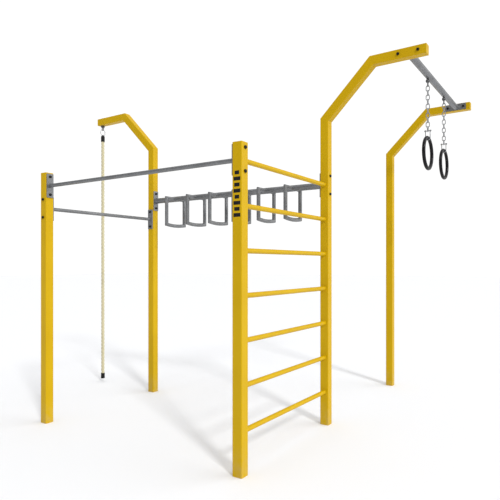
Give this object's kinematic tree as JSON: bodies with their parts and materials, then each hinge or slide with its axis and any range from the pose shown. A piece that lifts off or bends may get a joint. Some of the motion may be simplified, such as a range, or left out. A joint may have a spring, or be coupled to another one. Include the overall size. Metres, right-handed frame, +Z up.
{
  "type": "monkey bars",
  "caption": "Square-tube outdoor gym frame with a ladder, high and low bars, a beam of hanging handles, two rings on chains and a climbing rope.",
  "frame": {"origin": "on the ground, under the middle of the overall box", "axes": "+X along the high bar, towards the ladder side; +Y from the short posts towards the ring bay; +Z up"},
  "size_m": [4, 3.304, 3.2855],
  "materials": {
    "frame_paint": "satin powder coat",
    "zinc_steel": "dull galvanised",
    "cap_plastic": "matt black",
    "ring_rubber": "matt black coating",
    "rope_fibre": "three-strand laid rope"
  },
  "bodies": {
    "frame": {"post_front_left": "frame_paint", "post_front_right": "frame_paint", "crane_post_rope": "frame_paint", "crane_post_ring_near": "frame_paint", "crane_post_ring_far": "frame_paint", "post_top_caps": "frame_paint", "crane_end_caps": "frame_paint", "high_bar": "zinc_steel", "low_bar": "zinc_steel", "handle_beam": "zinc_steel", "ring_beam": "zinc_steel", "ladder_rung_1": "frame_paint", "ladder_rung_2": "frame_paint", "ladder_rung_3": "frame_paint", "ladder_rung_4": "frame_paint", "ladder_rung_5": "frame_paint", "ladder_rung_6": "frame_paint", "ladder_rung_7": "frame_paint", "bar_end_plates": "zinc_steel", "frame_bolts": "zinc_steel", "frame_nuts": "zinc_steel", "bolt_caps": "cap_plastic", "handle_1": "zinc_steel", "handle_2": "zinc_steel", "handle_3": "zinc_steel", "handle_4": "zinc_steel", "handle_5": "zinc_steel", "handle_6": "zinc_steel", "eye_bolts": "zinc_steel", "eye_bolt_nuts": "zinc_steel"},
    "top_shackle_near": {"top_shackle_near": "zinc_steel"},
    "chain_link_near_1": {"chain_link_near_1": "zinc_steel"},
    "chain_link_near_2": {"chain_link_near_2": "zinc_steel"},
    "chain_link_near_3": {"chain_link_near_3": "zinc_steel"},
    "chain_link_near_4": {"chain_link_near_4": "zinc_steel"},
    "chain_link_near_5": {"chain_link_near_5": "zinc_steel"},
    "chain_link_near_6": {"chain_link_near_6": "zinc_steel"},
    "chain_link_near_7": {"chain_link_near_7": "zinc_steel"},
    "chain_link_near_8": {"chain_link_near_8": "zinc_steel"},
    "chain_link_near_9": {"chain_link_near_9": "zinc_steel"},
    "chain_link_near_10": {"chain_link_near_10": "zinc_steel"},
    "low_shackle_near": {"low_shackle_near": "zinc_steel"},
    "ring_near": {"ring_near": "ring_rubber"},
    "top_shackle_far": {"top_shackle_far": "zinc_steel"},
    "chain_link_far_1": {"chain_link_far_1": "zinc_steel"},
    "chain_link_far_2": {"chain_link_far_2": "zinc_steel"},
    "chain_link_far_3": {"chain_link_far_3": "zinc_steel"},
    "chain_link_far_4": {"chain_link_far_4": "zinc_steel"},
    "chain_link_far_5": {"chain_link_far_5": "zinc_steel"},
    "chain_link_far_6": {"chain_link_far_6": "zinc_steel"},
    "chain_link_far_7": {"chain_link_far_7": "zinc_steel"},
    "chain_link_far_8": {"chain_link_far_8": "zinc_steel"},
    "chain_link_far_9": {"chain_link_far_9": "zinc_steel"},
    "chain_link_far_10": {"chain_link_far_10": "zinc_steel"},
    "low_shackle_far": {"low_shackle_far": "zinc_steel"},
    "ring_far": {"ring_far": "ring_rubber"},
    "rope_quick_link": {"rope_quick_link": "zinc_steel"},
    "rope": {"rope": "rope_fibre", "rope_sleeve_top": "cap_plastic", "rope_sleeve_bottom": "cap_plastic"}
  },
  "joints": [
    {"name": "top_shackle_near_swing", "type": "hinge", "parent": "frame", "child": "top_shackle_near", "pos_m": [1.85, 0.3775, 3.17015], "axis": [0, 1, 0], "range_deg": [-75, 75]},
    {"name": "chain_link_near_1_swing", "type": "hinge", "parent": "top_shackle_near", "child": "chain_link_near_1", "pos_m": [1.85, 0.3775, 3.13045], "axis": [1, 0, 0], "range_deg": [-25, 25]},
    {"name": "chain_link_near_2_swing", "type": "hinge", "parent": "chain_link_near_1", "child": "chain_link_near_2", "pos_m": [1.85, 0.3775, 3.0883], "axis": [0, -1, 0], "range_deg": [-45, 45]},
    {"name": "chain_link_near_3_swing", "type": "hinge", "parent": "chain_link_near_2", "child": "chain_link_near_3", "pos_m": [1.85, 0.3775, 3.04615], "axis": [-1, 0, 0], "range_deg": [-25, 25]},
    {"name": "chain_link_near_4_swing", "type": "hinge", "parent": "chain_link_near_3", "child": "chain_link_near_4", "pos_m": [1.85, 0.3775, 3.004], "axis": [0, 1, 0], "range_deg": [-45, 45]},
    {"name": "chain_link_near_5_swing", "type": "hinge", "parent": "chain_link_near_4", "child": "chain_link_near_5", "pos_m": [1.85, 0.3775, 2.96185], "axis": [1, 0, 0], "range_deg": [-25, 25]},
    {"name": "chain_link_near_6_swing", "type": "hinge", "parent": "chain_link_near_5", "child": "chain_link_near_6", "pos_m": [1.85, 0.3775, 2.9197], "axis": [0, -1, 0], "range_deg": [-45, 45]},
    {"name": "chain_link_near_7_swing", "type": "hinge", "parent": "chain_link_near_6", "child": "chain_link_near_7", "pos_m": [1.85, 0.3775, 2.87755], "axis": [-1, 0, 0], "range_deg": [-25, 25]},
    {"name": "chain_link_near_8_swing", "type": "hinge", "parent": "chain_link_near_7", "child": "chain_link_near_8", "pos_m": [1.85, 0.3775, 2.8354], "axis": [0, 1, 0], "range_deg": [-45, 45]},
    {"name": "chain_link_near_9_swing", "type": "hinge", "parent": "chain_link_near_8", "child": "chain_link_near_9", "pos_m": [1.85, 0.3775, 2.79325], "axis": [1, 0, 0], "range_deg": [-25, 25]},
    {"name": "chain_link_near_10_swing", "type": "hinge", "parent": "chain_link_near_9", "child": "chain_link_near_10", "pos_m": [1.85, 0.3775, 2.7511], "axis": [0, -1, 0], "range_deg": [-45, 45]},
    {"name": "low_shackle_near_swing", "type": "hinge", "parent": "chain_link_near_10", "child": "low_shackle_near", "pos_m": [1.85, 0.3775, 2.70895], "axis": [1, 0, 0], "range_deg": [-40, 40]},
    {"name": "ring_near_tilt", "type": "hinge", "parent": "low_shackle_near", "child": "ring_near", "pos_m": [1.85, 0.3775, 2.64425], "axis": [0, 1, 0], "range_deg": [-75, 75]},
    {"name": "top_shackle_far_swing", "type": "hinge", "parent": "frame", "child": "top_shackle_far", "pos_m": [1.85, 1.0075, 3.17015], "axis": [0, 1, 0], "range_deg": [-75, 75]},
    {"name": "chain_link_far_1_swing", "type": "hinge", "parent": "top_shackle_far", "child": "chain_link_far_1", "pos_m": [1.85, 1.0075, 3.13045], "axis": [1, 0, 0], "range_deg": [-25, 25]},
    {"name": "chain_link_far_2_swing", "type": "hinge", "parent": "chain_link_far_1", "child": "chain_link_far_2", "pos_m": [1.85, 1.0075, 3.0883], "axis": [0, -1, 0], "range_deg": [-45, 45]},
    {"name": "chain_link_far_3_swing", "type": "hinge", "parent": "chain_link_far_2", "child": "chain_link_far_3", "pos_m": [1.85, 1.0075, 3.04615], "axis": [-1, 0, 0], "range_deg": [-25, 25]},
    {"name": "chain_link_far_4_swing", "type": "hinge", "parent": "chain_link_far_3", "child": "chain_link_far_4", "pos_m": [1.85, 1.0075, 3.004], "axis": [0, 1, 0], "range_deg": [-45, 45]},
    {"name": "chain_link_far_5_swing", "type": "hinge", "parent": "chain_link_far_4", "child": "chain_link_far_5", "pos_m": [1.85, 1.0075, 2.96185], "axis": [1, 0, 0], "range_deg": [-25, 25]},
    {"name": "chain_link_far_6_swing", "type": "hinge", "parent": "chain_link_far_5", "child": "chain_link_far_6", "pos_m": [1.85, 1.0075, 2.9197], "axis": [0, -1, 0], "range_deg": [-45, 45]},
    {"name": "chain_link_far_7_swing", "type": "hinge", "parent": "chain_link_far_6", "child": "chain_link_far_7", "pos_m": [1.85, 1.0075, 2.87755], "axis": [-1, 0, 0], "range_deg": [-25, 25]},
    {"name": "chain_link_far_8_swing", "type": "hinge", "parent": "chain_link_far_7", "child": "chain_link_far_8", "pos_m": [1.85, 1.0075, 2.8354], "axis": [0, 1, 0], "range_deg": [-45, 45]},
    {"name": "chain_link_far_9_swing", "type": "hinge", "parent": "chain_link_far_8", "child": "chain_link_far_9", "pos_m": [1.85, 1.0075, 2.79325], "axis": [1, 0, 0], "range_deg": [-25, 25]},
    {"name": "chain_link_far_10_swing", "type": "hinge", "parent": "chain_link_far_9", "child": "chain_link_far_10", "pos_m": [1.85, 1.0075, 2.7511], "axis": [0, -1, 0], "range_deg": [-45, 45]},
    {"name": "low_shackle_far_swing", "type": "hinge", "parent": "chain_link_far_10", "child": "low_shackle_far", "pos_m": [1.85, 1.0075, 2.70895], "axis": [1, 0, 0], "range_deg": [-40, 40]},
    {"name": "ring_far_tilt", "type": "hinge", "parent": "low_shackle_far", "child": "ring_far", "pos_m": [1.85, 1.0075, 2.64425], "axis": [0, 1, 0], "range_deg": [-75, 75]},
    {"name": "rope_side_swing", "type": "hinge", "parent": "frame", "child": "rope_quick_link", "pos_m": [-1.95, -0.215, 3.1327], "axis": [1, 0, 0], "range_deg": [-45, 45]},
    {"name": "rope_swing", "type": "hinge", "parent": "rope_quick_link", "child": "rope", "pos_m": [-1.95, -0.215, 3.066], "axis": [0, 1, 0], "range_deg": [-14, 45]}
  ]
}
